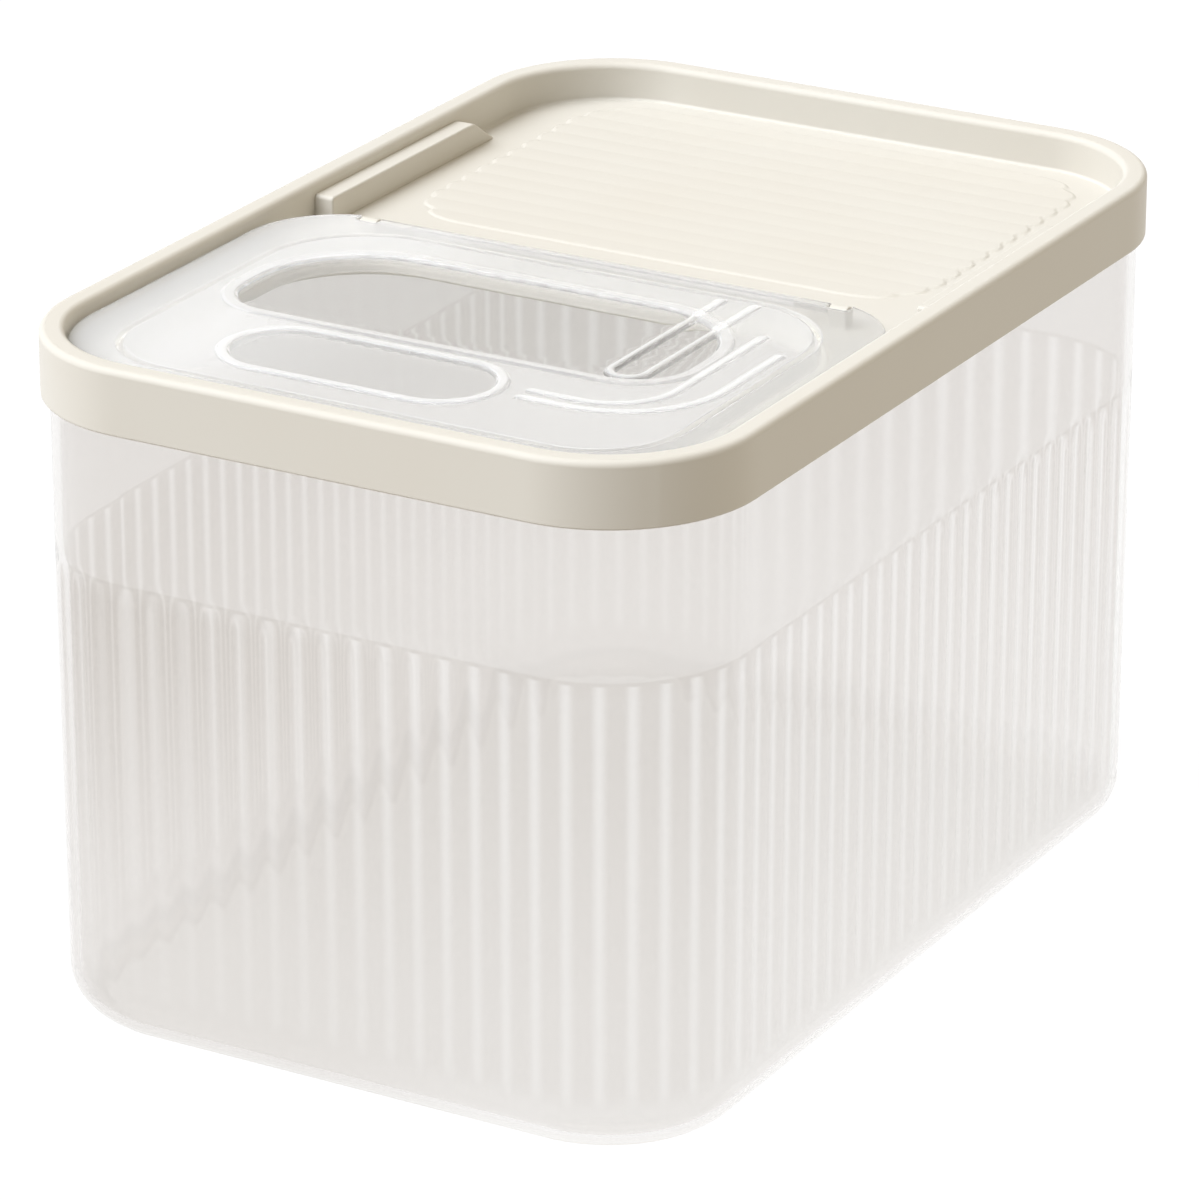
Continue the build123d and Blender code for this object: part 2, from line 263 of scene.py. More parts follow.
def turned(x: Any, y: Any, angle: Any) -> np.ndarray:
    """Turns plan directions by an angle.

    Args:
        x: One number, or one for each direction.
        y: The same for the other axis.
        angle: One angle, or one for each direction.

    Returns:
        The turned directions, one in each row.
    """
    cos_a, sin_a = np.cos(angle), np.sin(angle)
    return np.column_stack([x * cos_a - y * sin_a, x * sin_a + y * cos_a])


def at_corner(
    before: np.ndarray, spot: np.ndarray, after: np.ndarray
) -> tuple[np.ndarray, np.ndarray, float]:
    """Measures a corner of a path.

    Args:
        before: The point before the corner.
        spot: The corner.
        after: The point after it.

    Returns:
        The heading into the corner, the heading out of it and the turn between them.
    """
    come, leave = spot - before, after - spot
    come, leave = come / np.hypot(*come), leave / np.hypot(*leave)
    return come, leave, math.atan2(come[0] * leave[1] - come[1] * leave[0], come @ leave)


def arc(
    start: np.ndarray, heading: np.ndarray, turn: float, radius: float, count: int
) -> tuple[np.ndarray, np.ndarray]:
    """Walks along an arc.

    Args:
        start: The arc's first point.
        heading: The direction in which it starts.
        turn: The angle it turns by, positive to the left.
        radius: Its radius.
        count: How many steps it has.

    Returns:
        Its points, and the right-hand normal at each.
    """
    flat = np.array([heading[1], -heading[0]])
    side = math.copysign(1, turn)
    centre = start - side * radius * flat
    normals = turned(flat[0], flat[1], turn * np.arange(count + 1) / count)
    return centre + side * radius * normals, normals


@dataclass(frozen=True)
class Outline:
    """A closed plan outline, counter-clockwise, with the outward normal at each point."""

    points: np.ndarray
    normals: np.ndarray

    @classmethod
    def filleted(
        cls, corners: Iterable[tuple[float, float]], radii: Iterable[float], step: float
    ) -> Outline:
        """Rounds each corner of a polygon and walks round it.

        Args:
            corners: The polygon's corners, counter-clockwise.
            radii: One radius for each corner.
            step: The greatest distance between points.

        Returns:
            The outline.
        """
        spots = [np.array(corner, float) for corner in corners]
        arcs = []
        for index, (corner, radius) in enumerate(zip(spots, radii)):
            after = spots[(index + 1) % len(spots)]
            come, leave, turn = at_corner(spots[index - 1], corner, after)
            reach = radius * math.tan(abs(turn) / 2)
            arcs.append((corner - come * reach, come, turn, radius, corner + leave * reach))
        points: list[np.ndarray] = []
        normals: list[np.ndarray] = []
        for index, (start, come, turn, radius, _) in enumerate(arcs):
            last = arcs[index - 1][4]
            run = np.hypot(*(start - last))
            if run > step / 100:
                count = max(1, math.ceil(run / step))
                points.append(last + (start - last) * np.arange(count)[:, None] / count)
                normals.append(np.tile([come[1], -come[0]], (count, 1)))
            count = max(2, math.ceil(abs(turn) * radius / step), math.ceil(abs(turn) / ARC_TURN))
            bent, facing = arc(start, come, turn, radius, count)
            points.append(bent)
            normals.append(facing)
        path = np.concatenate(points)
        kept = np.hypot(*(path - np.roll(path, 1, axis=0)).T) > LEAST_GAP
        return cls(path[kept], np.concatenate(normals)[kept])

    @classmethod
    def rounded(cls, box: Box, front_r: float, back_r: float, step: float) -> Outline:
        """Makes a rectangle with one radius at its front corners and another at its back ones.

        Args:
            box: Its left, right, front and back.
            front_r: The front corners' radius.
            back_r: The back corners' radius.
            step: The greatest distance between points.

        Returns:
            The outline.
        """
        left, right, front, back = box
        corners = [(left, front), (right, front), (right, back), (left, back)]
        return cls.filleted(corners, [front_r, front_r, back_r, back_r], step)

    @classmethod
    def counted(
        cls, half_x: float, half_y: float, radius: float, across: int, along: int, bend: int
    ) -> Outline:
        """Makes a rounded rectangle with a given number of steps on each side and corner.

        Args:
            half_x: Half its width.
            half_y: Half its length.
            radius: The radius of its corners.
            across: Steps on the front and on the back.
            along: Steps on each long side.
            bend: Steps round each corner.

        Returns:
            The outline.
        """
        points, normals = [], []
        out = np.radians(-90 + 90 * np.arange(bend) / bend)
        run_x, run_y = half_x - radius, half_y - radius
        sides = ((run_x, half_y, across), (run_y, half_x, along)) * 2
        for quarter, (side, reach, count) in enumerate(sides):
            turn = math.radians(90 * quarter)
            x = np.append(-side + 2 * side * np.arange(count) / count, side + radius * np.cos(out))
            y = np.append(np.full(count, -reach), -(reach - radius) + radius * np.sin(out))
            points.append(turned(x, y, turn))
            facing = np.append(np.full(count, math.radians(-90)), out) + turn
            normals.append(np.column_stack([np.cos(facing), np.sin(facing)]))
        return cls(np.concatenate(points), np.concatenate(normals))

    def drawn_in(self, inset: float | np.ndarray) -> np.ndarray:
        """The outline's points moved inwards by inset."""
        return self.points - self.normals * np.reshape(inset, (-1, 1))

    def ring(self, inset: float | np.ndarray, height: float) -> np.ndarray:
        """The outline drawn in by inset, at a height."""
        flat = self.drawn_in(inset)
        return np.column_stack([flat, np.full(len(flat), height)])


def distance(points: np.ndarray, path: np.ndarray, closed: bool) -> np.ndarray:
    """Measures how far points are from a path of straight runs.

    Args:
        points: The points.
        path: The path's corners.
        closed: Whether it joins up with its own start.

    Returns:
        Each point's distance.
    """
    ends = np.roll(path, -1, axis=0) if closed else path[1:]
    best = np.full(len(points), np.inf)
    for start, end in zip(path, ends):
        run = end - start
        along = np.clip(((points - start) @ run) / max(run @ run, 1e-12), 0, 1)
        gap = points - start - along[:, None] * run
        best = np.minimum(best, np.einsum("ij,ij->i", gap, gap))
    return np.sqrt(best)


def within(points: np.ndarray, loop: np.ndarray) -> np.ndarray:
    """Finds the points inside a closed loop.

    Args:
        points: The points.
        loop: The loop's corners.

    Returns:
        True for each point inside.
    """
    inside = np.zeros(len(points), bool)
    x, y = points[:, 0], points[:, 1]
    for (x0, y0), (x1, y1) in zip(loop, np.roll(loop, -1, axis=0)):
        if y0 != y1:
            crosses = (y0 > y) != (y1 > y)
            inside ^= crosses & (x < x0 + (y - y0) * (x1 - x0) / (y1 - y0))
    return inside


def between(points: np.ndarray, loops: list[np.ndarray]) -> np.ndarray:
    """Finds the points inside the first loop and outside the others.

    Args:
        points: The points.
        loops: The loops' corners.

    Returns:
        True for each such point.
    """
    keep = within(points, loops[0])
    for loop in loops[1:]:
        keep &= ~within(points, loop)
    return keep


def signed(points: np.ndarray, loop: np.ndarray) -> np.ndarray:
    """Distance to a closed loop, negative inside it."""
    return np.where(within(points, loop), -1.0, 1.0) * distance(points, loop, True)


def falls(distances: np.ndarray, at: float, soft: float) -> np.ndarray:
    """One well below a distance and zero well above it, with a soft slope between."""
    part = np.clip((distances - at) / soft + 0.5, 0, 1)
    return 1 - part * part * (3 - 2 * part)


def flat_at(height: float) -> Height:
    """A surface of one height."""
    return lambda spots: np.full(len(spots), height)


def grid(box: Box, step: float) -> np.ndarray:
    """Lays plan points on a staggered grid.

    Args:
        box: Its left, right, front and back.
        step: The distance between points.

    Returns:
        The points.
    """
    left, right, front, back = box
    across = np.arange(left, right + step, step)
    rows = np.arange(front, back + step, step * ROW_SHARE)
    shifts = [step / 2 if index % 2 else 0 for index in range(len(rows))]
    return np.array([(x + shift, y) for shift, y in zip(shifts, rows) for x in across])


def fillet_profile(
    spots: Iterable[tuple[float, float, float]], closed: bool, bend: float = 0.35
) -> Section:
    """Rounds the corners of a wall's cross-section.

    Args:
        spots: Inset, height and corner radius at each corner.
        closed: Whether the section joins up with its own start.
        bend: The turn between two points of an arc, in radians.

    Returns:
        Inset and height of each point.
    """
    path = [np.array(spot[:2], float) for spot in spots]
    radii = [spot[2] for spot in spots]
    result: Section = []
    for index, (spot, radius) in enumerate(zip(path, radii)):
        points = spot[None, :]
        if radius > 0 and (closed or 0 < index < len(path) - 1):
            come, _, turn = at_corner(path[index - 1], spot, path[(index + 1) % len(path)])
            start = spot - come * radius * math.tan(abs(turn) / 2)
            points, _ = arc(start, come, turn, radius, max(2, math.ceil(abs(turn) / bend)))
        result += [(float(inset), float(height)) for inset, height in points]
    return result


@dataclass
class Moulding:
    """Gathers rings and sheets of one moulding, which share their border points."""

    points: list[np.ndarray] = field(default_factory=list)
    hazes_and_painted_lights: list[np.ndarray] = field(default_factory=list)
    faces: list[np.ndarray] = field(default_factory=list)
    count: int = 0

    def add(self, points: np.ndarray, haze: float | np.ndarray = 0.0) -> np.ndarray:
        """Adds points.

        Args:
            points: Their places.
            haze: Their haze and painted light, one for all or one for each.

        Returns:
            Their numbers.
        """
        self.points.append(points)
        self.hazes_and_painted_lights.append(np.broadcast_to(np.asarray(haze, float), (len(points),)).copy())
        numbers = np.arange(self.count, self.count + len(points))
        self.count += len(points)
        return numbers

    def skin(self, rings: list[np.ndarray], closed: bool = False) -> None:
        """Joins rings of equal length into bands of four-sided faces.

        Args:
            rings: Numbers of each ring's points.
            closed: Whether the last ring joins the first.
        """
        following = rings[1:] + rings[:1] if closed else rings[1:]
        for low, high in zip(rings, following):
            quads = [low, np.roll(low, -1), np.roll(high, -1), high]
            self.faces.append(np.column_stack(quads))

    def sweep(
        self, outline: Outline, profile: Section, closed: bool = False, haze: float | Height = 0.0
    ) -> list[np.ndarray]:
        """Carries a cross-section round an outline.

        Args:
            outline: The outline.
            profile: Inset and height of each point of the section.
            closed: Whether the section joins up with its own start.
            haze: One haze and painted light for all, or what gives it at the points of a ring.

        Returns:
            Numbers of each ring's points.
        """
        rings = []
        for inset, height in profile:
            ring = outline.ring(inset, height)
            rings.append(self.add(ring, haze(ring) if callable(haze) else haze))
        self.skin(rings, closed)
        return rings

    def cap(self, ring: np.ndarray, up: bool) -> None:
        """Closes a ring with one flat face."""
        self.faces.append((ring if up else ring[::-1])[None, :])

    def sheet(
        self,
        borders: list[np.ndarray],
        filling: np.ndarray,
        height: Height,
        up: bool,
        haze: Height | None = None,
    ) -> None:
        """Fills the space between rings with a triangulated surface.

        Args:
            borders: Numbers of the outer ring's points, then those of each ring left open.
            filling: Plan points to use between the rings.
            height: Gives the surface's height at plan points.
            up: Whether the surface faces up.
            haze: Gives the haze and painted light at plan points.
        """
        known = np.concatenate(self.points)
        loops = [known[border][:, :2] for border in borders]
        inside = between(filling, loops)
        for loop in loops:
            inside &= distance(filling, loop, True) > BORDER_GAP
        flat = np.concatenate([*loops, filling[inside]])
        numbers = np.concatenate(borders)
        edges = []
        start = 0
        for loop in loops:
            size = len(loop)
            edges += [(start + i, start + (i + 1) % size) for i in range(size)]
            start += size
        spots = [Vector((float(x), float(y))) for x, y in flat]
        found, _, triangles, origins, _, _ = delaunay_2d_cdt(spots, edges, [], 0, TOLERANCE)
        place = np.array([spot[:] for spot in found])
        first = np.array([origin[0] if origin else -1 for origin in origins])
        new = (first < 0) | (first >= len(numbers))
        fresh = place[new]
        tops = np.column_stack([fresh, height(fresh)])
        mapped = np.empty(len(place), int)
        mapped[~new] = numbers[first[~new]]
        mapped[new] = self.add(tops, haze(fresh) if haze else 0.0)
        corners = np.array(triangles)
        corners = mapped[corners[between(place[corners].mean(axis=1), loops)]]
        self.faces.append(corners if up else corners[:, ::-1])

    def build(self, name: str, matrix: Matrix | None = None) -> bpy.types.Object:
        """Makes the object, smooth with flat areas kept flat.

        Args:
            name: The object's name.
            matrix: Moves the finished points, in millimetres.

        Returns:
            The object, linked to the scene.
        """
        points = np.concatenate(self.points)
        if matrix is not None:
            points = points @ np.array(matrix.to_3x3()).T + np.array(matrix.translation)
        mesh = bpy.data.meshes.new(name)
        faces = [face.tolist() for block in self.faces for face in block]
        mesh.from_pydata((points * MM).tolist(), [], faces)
        haze = np.concatenate(self.hazes_and_painted_lights).astype(np.float32)
        # the haze attribute also carries painted light and shade
        mesh.attributes.new(HAZE_AND_PAINTED_LIGHT, "FLOAT", "POINT").data.foreach_set("value", haze)
        mesh.validate()
        mesh.shade_smooth()
        mesh.set_sharp_from_angle(angle=math.radians(SHARP_DEGREES))
        thing = bpy.data.objects.new(name, mesh)
        bpy.context.scene.collection.objects.link(thing)
        even = thing.modifiers.new("even_normals", "WEIGHTED_NORMAL")
        even.keep_sharp = True
        even.weight = NORMAL_WEIGHT
        log.info("%s has %d faces", name, len(mesh.polygons))
        return thing


@dataclass(frozen=True)
class Studio:
    """The photographer's room: camera, pale floor, soft sky and one large key light.

    Matt surfaces are lit by a warm sky with a bright card in it. Gloss and clear plastic see
    a pale room under a dimmer ceiling instead, and an even floor.
    """

    azimuth: float = 29.674
    elevation: float = 22.005
    distance: float = 1.9945
    lens: float = 199.5
    sensor: float = 36.0
    target: Triple = (0.0, -0.00673, 0.1006)
    bounces: int = 64
    see_through: int = 24
    sky: Triple = (0.27, 0.23, 0.17)
    card: Triple = (1.13, 1.01, 0.81)
    card_side: Triple = (0.64, 0.64, 0.42)
    card_edge: tuple[float, float] = (0.5, 0.94)
    room: Triple = (0.97, 0.97, 0.96)
    ceiling: Triple = (0.4, 0.39, 0.37)
    ceiling_edge: tuple[float, float] = (0.1, 0.35)
    key_power: float = 4.95
    key_spread: float = 52.0
    key_course: Triple = (0.45, 0.47, -0.8)
    key_colour: Triple = (0.94, 0.98, 1.06)
    paper: Triple = (0.05, 0.05, 0.05)
    paper_glow: Triple = (0.98, 0.98, 0.98)
    paper_bounce: Triple = (0.54, 0.47, 0.38)
    floor_half: float = 4.0
    floor_z: float = -0.0003

    def build(self) -> None:
        """Makes the camera, the lights and the floor."""
        self.build_camera()
        self.build_sky()
        self.build_key()
        self.build_floor()
        log.info("the studio is ready")

    def build_camera(self) -> None:
        """Makes the camera and sets how far light is followed."""
        scene = bpy.context.scene
        a, e = math.radians(self.azimuth), math.radians(self.elevation)
        back = Vector((math.sin(a) * math.cos(e), -math.cos(a) * math.cos(e), math.sin(e)))
        camera = bpy.data.objects.new("camera", bpy.data.cameras.new("camera"))
        camera.data.lens = self.lens
        camera.data.sensor_width = self.sensor
        camera.location = Vector(self.target) + back * self.distance
        camera.rotation_euler = (-back).to_track_quat("-Z", "Y").to_euler()
        scene.collection.objects.link(camera)
        scene.camera = camera
        scene.view_settings.view_transform = "Standard"
        scene.cycles.max_bounces = self.bounces
        scene.cycles.transmission_bounces = self.bounces
        scene.cycles.glossy_bounces = self.bounces
        scene.cycles.transparent_max_bounces = self.see_through

    def build_sky(self) -> None:
        """Makes the world: sky and card for matt surfaces, room and ceiling for the rest."""
        world = bpy.data.worlds.new("soft_sky")
        world.use_nodes = True
        tree = world.node_tree
        tree.nodes.clear()
        course = add_node(tree, "TexCoord").outputs["Generated"]
        both = {0: course, 1: Vector(self.card_side).normalized()}
        lean = add_node(tree, "VectorMath", both, operation="DOT_PRODUCT").outputs["Value"]
        rise = add_node(tree, "SeparateXYZ", {0: course}).outputs["Z"]
        views = (
            (rise, self.ceiling_edge, self.room, self.ceiling),
            (lean, self.card_edge, self.sky, self.card),
        )
        seen: dict[int, Any] = {0: add_node(tree, "LightPath").outputs["Is Diffuse Ray"]}
        for socket, (value, edge, low, high) in zip((6, 7), views):
            inputs = {"Value": value, "From Min": edge[0], "From Max": edge[1]}
            share = add_node(tree, "MapRange", inputs, interpolation_type="SMOOTHSTEP")
            colours = {0: share.outputs["Result"], 6: (*low, 1.0), 7: (*high, 1.0)}
            seen[socket] = add_node(tree, "Mix", colours, data_type="RGBA").outputs[2]
        mixed = add_node(tree, "Mix", seen, data_type="RGBA").outputs[2]
        sky = add_node(tree, "Background", {"Color": mixed, "Strength": 1.0})
        add_node(tree, "OutputWorld", {"Surface": sky.outputs["Background"]})
        bpy.context.scene.world = world

    def build_key(self) -> None:
        """Makes the key light, a wide soft one that gloss and clear plastic don't show."""
        sun = bpy.data.lights.new("key", "SUN")
        sun.energy = self.key_power
        sun.angle = math.radians(self.key_spread)
        sun.color = self.key_colour
        key = bpy.data.objects.new("key", sun)
        key.rotation_euler = Vector(self.key_course).to_track_quat("-Z", "Y").to_euler()
        key.visible_glossy = False
        key.visible_transmission = False
        bpy.context.scene.collection.objects.link(key)

    def build_floor(self) -> None:
        """Makes the paper floor, whose glow keeps it even under the bin."""
        half = self.floor_half
        mesh = bpy.data.meshes.new("floor")
        corners = [(-half, -half, 0), (half, -half, 0), (half, half, 0), (-half, half, 0)]
        mesh.from_pydata(corners, [], [(0, 1, 2, 3)])
        floor = bpy.data.objects.new("floor", mesh)
        floor.location.z = self.floor_z
        material, tree = new_material("matt_white_paper")
        bounce = add_node(tree, "LightPath").outputs["Is Diffuse Ray"]
        glows = {0: bounce, 6: (*self.paper_glow, 1.0), 7: (*self.paper_bounce, 1.0)}
        surface = {
            "Base Color": (*self.paper, 1.0),
            "Roughness": 1.0,
            "Specular IOR Level": 0.0,
            "Emission Color": add_node(tree, "Mix", glows, data_type="RGBA").outputs[2],
            "Emission Strength": 1.0,
        }
        paper = add_node(tree, "BsdfPrincipled", surface)
        add_node(tree, "OutputMaterial", {"Surface": paper.outputs["BSDF"]})
        mesh.materials.append(material)
        bpy.context.scene.collection.objects.link(floor)


@dataclass
class BinBody:
    """The clear tub: smooth band above, flutes inside below it, rounded base.

    Its lights are painted light and shade: haze values from zero to one that lighten the clear
    plastic's tint, and a light of one is the brightest.
    """

    half_x: float = 113.0
    half_y: float = 165.0
    corner_r: float = 46.0
    flutes_across: int = 14
    flutes_along: int = 26
    flutes_bend: int = 7
    columns: int = 12
    outer_inset: float = 2.6
    draft: float = 0.7
    base_r: float = 14.0
    base_ring: float = 9.0
    base_steps: int = 9
    recess: float = 0.8
    recess_ramp: float = 15.0
    # inset and rise that ease the ramp's bends: two at its top and two at its foot
    ramp_top: Pairs = ((2.0, 0.0), (0.0, -0.02))
    ramp_foot: Pairs = ((2.0, 0.1), (-0.5, 0.0))
    wall_rings_z: tuple[float, ...] = (30.0, 60.0, 100.0, 140.0)
    band_z: float = 145.0
    band_under: float = 4.0
    top_z: float = 206.0
    edge_r: float = 0.8
    wall: float = 2.4
    valley_inset: float = 5.08
    flute_depth: float = 0.14
    ridge_reach: float = 0.3
    # rise above the band's lower edge, and how much of the flutes' relief is there
    band_step: Pairs = (
        (2.0, 0.06),
        (0.8, 0.2),
        (0.5, 0.25),
        (-0.3, 0.37),
        (-0.7, 0.43),
        (-1.5, 0.55),
        (-3.5, 0.85),
        (-6.0, 1.0),
    )
    flute_ends: tuple[float, float] = (20.0, 8.0)
    flute_rings: int = 6
    flute_low_z: float = 15.0
    low_inset: float = 5.18
    # rise above the flutes' lower end, and how much of their relief is there
    low_fade: Pairs = ((6, 0.95), (4, 0.75), (2, 0.35), (0.0, 0.0))
    floor_z: float = 3.0
    floor_steps: int = 8
    foot_top_z: float = 3.4
    foot_lean: float = -0.01
    # painted light and shade: each is a haze value that lightens the clear plastic's tint
    painted_band_light: float = 0.42
    painted_outer_light: float = 0.2
    painted_right_light: float = 0.36
    painted_right_light_x: tuple[float, float] = (30.0, 100.0)
    painted_front_shade: float = 0.6
    painted_front_shade_x: tuple[float, float] = (-30.0, 80.0)
    painted_low_light: float = 0.75
    painted_low_right_fade: float = 0.4
    painted_low_light_z: tuple[float, float] = (35.0, 90.0)
    painted_base_light: float = 0.72

    def wall_inset(self, height: float) -> float:
        """Inset of the drafted outer wall at a height."""
        return self.outer_inset + self.draft - self.draft * height / self.band_z

    def phase(self) -> np.ndarray:
        """Each column's place across its flute, in turns from the middle of a ridge."""
        total = 2 * (self.flutes_across + self.flutes_along) + 4 * self.flutes_bend
        return np.tile(np.arange(self.columns) / self.columns, total)

    def side(self, outline: Outline) -> np.ndarray:
        """Zero on the left and one on the right, with a soft change between, for painted light."""
        return 1 - falls(outline.points[:, 0], *self.painted_right_light_x)

    def painted_side_light(self, outline: Outline) -> np.ndarray:
        """How bright the outer face is painted, with painted light that grows towards the
        right-hand side.
        """
        return self.painted_outer_light + self.painted_right_light * self.side(outline)

    def painted_ridge_light(self, outline: Outline) -> np.ndarray:
        """Says how bright the ridges are painted: a painted highlight on each, dimmed by painted
        shade on the left half of the front.

        Args:
            outline: The tub's outline.

        Returns:
            The painted light of each column, zero between ridges.
        """
        away = np.minimum(self.phase(), 1 - self.phase())
        front = np.clip(-outline.normals[:, 1], 0, 1) * falls(outline.points[:, 0], *self.painted_front_shade_x)
        return falls(away, self.ridge_reach / 2, self.ridge_reach) * (1 - self.painted_front_shade * front)

    def painted_fluted_light(self, outline: Outline, height: float) -> np.ndarray:
        """Says how bright the fluted face is painted, whose painted ridge highlights stand out
        most near the band, with painted light in the valleys low down.

        Args:
            outline: The tub's outline.
            height: The height on the face.

        Returns:
            The painted light of each column.
        """
        low, run = self.painted_low_light_z
        fade = min(1.0, max(0.0, (height - low) / run))
        # painted light in the valleys low down, less towards the right
        valley = self.painted_low_light * (1 - fade) * (1 - self.painted_low_right_fade * self.side(outline))
        return valley + (1 - valley) * self.painted_ridge_light(outline)

    def flute_insets(self, blend: float, rest: float) -> np.ndarray:
        """Draws the flutes, blended towards a plain inset.

        Args:
            blend: How much of the flutes there is.
            rest: The plain inset.

        Returns:
            The inset of each column.
        """
        wave = (1 + np.cos(2 * math.pi * self.phase())) / 2
        insets = self.valley_inset + self.flute_depth * wave
        return rest + (insets - rest) * blend

    def outer_section(self) -> Section:
        """Draws the section from the foot's middle up the outside and over the top edge.

        Returns:
            Inset and height of each point.
        """
        foot_in = self.outer_inset + self.draft + self.base_r
        flat_in = foot_in + self.base_ring
        ramp_in = flat_in + self.recess_ramp
        section = [(ramp_in + inset, self.recess + rise) for inset, rise in self.ramp_top]
        section += [(flat_in + inset, rise) for inset, rise in self.ramp_foot]
        section.append((foot_in, 0.0))
        for part in range(1, self.base_steps + 1):
            angle = math.pi / 2 * part / self.base_steps
            rise = self.base_r * (1 - math.cos(angle))
            reach = self.base_r * math.sin(angle)
            section.append((self.wall_inset(rise) + self.base_r - reach, rise))
        section += [(self.wall_inset(z), z) for z in self.wall_rings_z]
        inner = self.outer_inset + self.wall
        edge = [
            (self.outer_inset, self.band_z, 0),
            (self.outer_inset, self.top_z, self.edge_r),
            (inner, self.top_z, self.edge_r),
            (inner, self.band_z + self.band_under, 0),
        ]
        return section + fillet_profile(edge, closed=False)

    def add_inside(self, shape: Moulding, outline: Outline) -> list[np.ndarray]:
        """Adds the inner face from the band's lower edge down to the floor.

        Args:
            shape: The tub's moulding.
            outline: The tub's outline.

        Returns:
            Numbers of each ring's points.
        """
        inner = self.outer_inset + self.wall
        rows: list[tuple[Any, float, Any]] = []
        # painted light on the band's lower edge: the band's, none, then the ridges' painted
        # highlights
        lights = [self.painted_band_light] * 2 + [0.0] * 2 + [self.painted_ridge_light(outline)] * 4
        for (rise, blend), light in zip(self.band_step, lights):
            rows.append((self.flute_insets(blend, inner), self.band_z + rise, light))
        high, low = self.band_z - self.flute_ends[0], self.flute_low_z + self.flute_ends[1]
        for z in np.linspace(high, low, self.flute_rings):
            rows.append((self.flute_insets(1, inner), z, self.painted_fluted_light(outline, z)))
        for rise, blend in self.low_fade:
            z = self.flute_low_z + rise
            # painted light that blends from the flutes' to the base's
            light = self.painted_fluted_light(outline, z) * blend + self.painted_base_light * (1 - blend)
            rows.append((self.flute_insets(blend, self.low_inset), z, light))
        bend = self.base_r - self.floor_z
        for part in range(1, self.floor_steps + 1):
            angle = math.pi / 2 * part / self.floor_steps
            inset = self.low_inset + bend * (1 - math.cos(angle))
            rows.append((inset, self.base_r - bend * math.sin(angle), self.painted_base_light))
        return [shape.add(outline.ring(inset, z), light) for inset, z, light in rows]

    def build(self, clear: bpy.types.Material, foot: bpy.types.Material) -> bpy.types.Object:
        """Makes the tub's mesh.

        Args:
            clear: The clear plastic.
            foot: The same plastic where the tub rests on its foot.

        Returns:
            The tub.
        """
        flutes = (self.flutes_across, self.flutes_along, self.flutes_bend)
        steps = [count * self.columns for count in flutes]
        outline = Outline.counted(self.half_x, self.half_y, self.corner_r, *steps)
        shape = Moulding()
        rings: list[np.ndarray] = []
        for inset, height in self.outer_section():
            # painted light on the outer face: the base's, the side's that grows towards the right,
            # and the band's
            light = self.painted_base_light if height <= self.recess else self.painted_side_light(outline)
            light = self.painted_band_light if height >= self.band_z else light
            rings.append(shape.add(outline.ring(inset, height), light))
        rings += self.add_inside(shape, outline)
        shape.skin(rings)
        shape.cap(rings[0], up=False)
        shape.cap(rings[-1], up=True)
        tub = shape.build("clear_tub")
        tub.data.materials.append(clear)
        tub.data.materials.append(foot)
        for face in tub.data.polygons:
            if face.normal.z < self.foot_lean and face.center.z < self.foot_top_z * MM:
                face.material_index = 1
        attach(tub, Body.BIN.value)
        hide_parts("bin_body")
        return tub


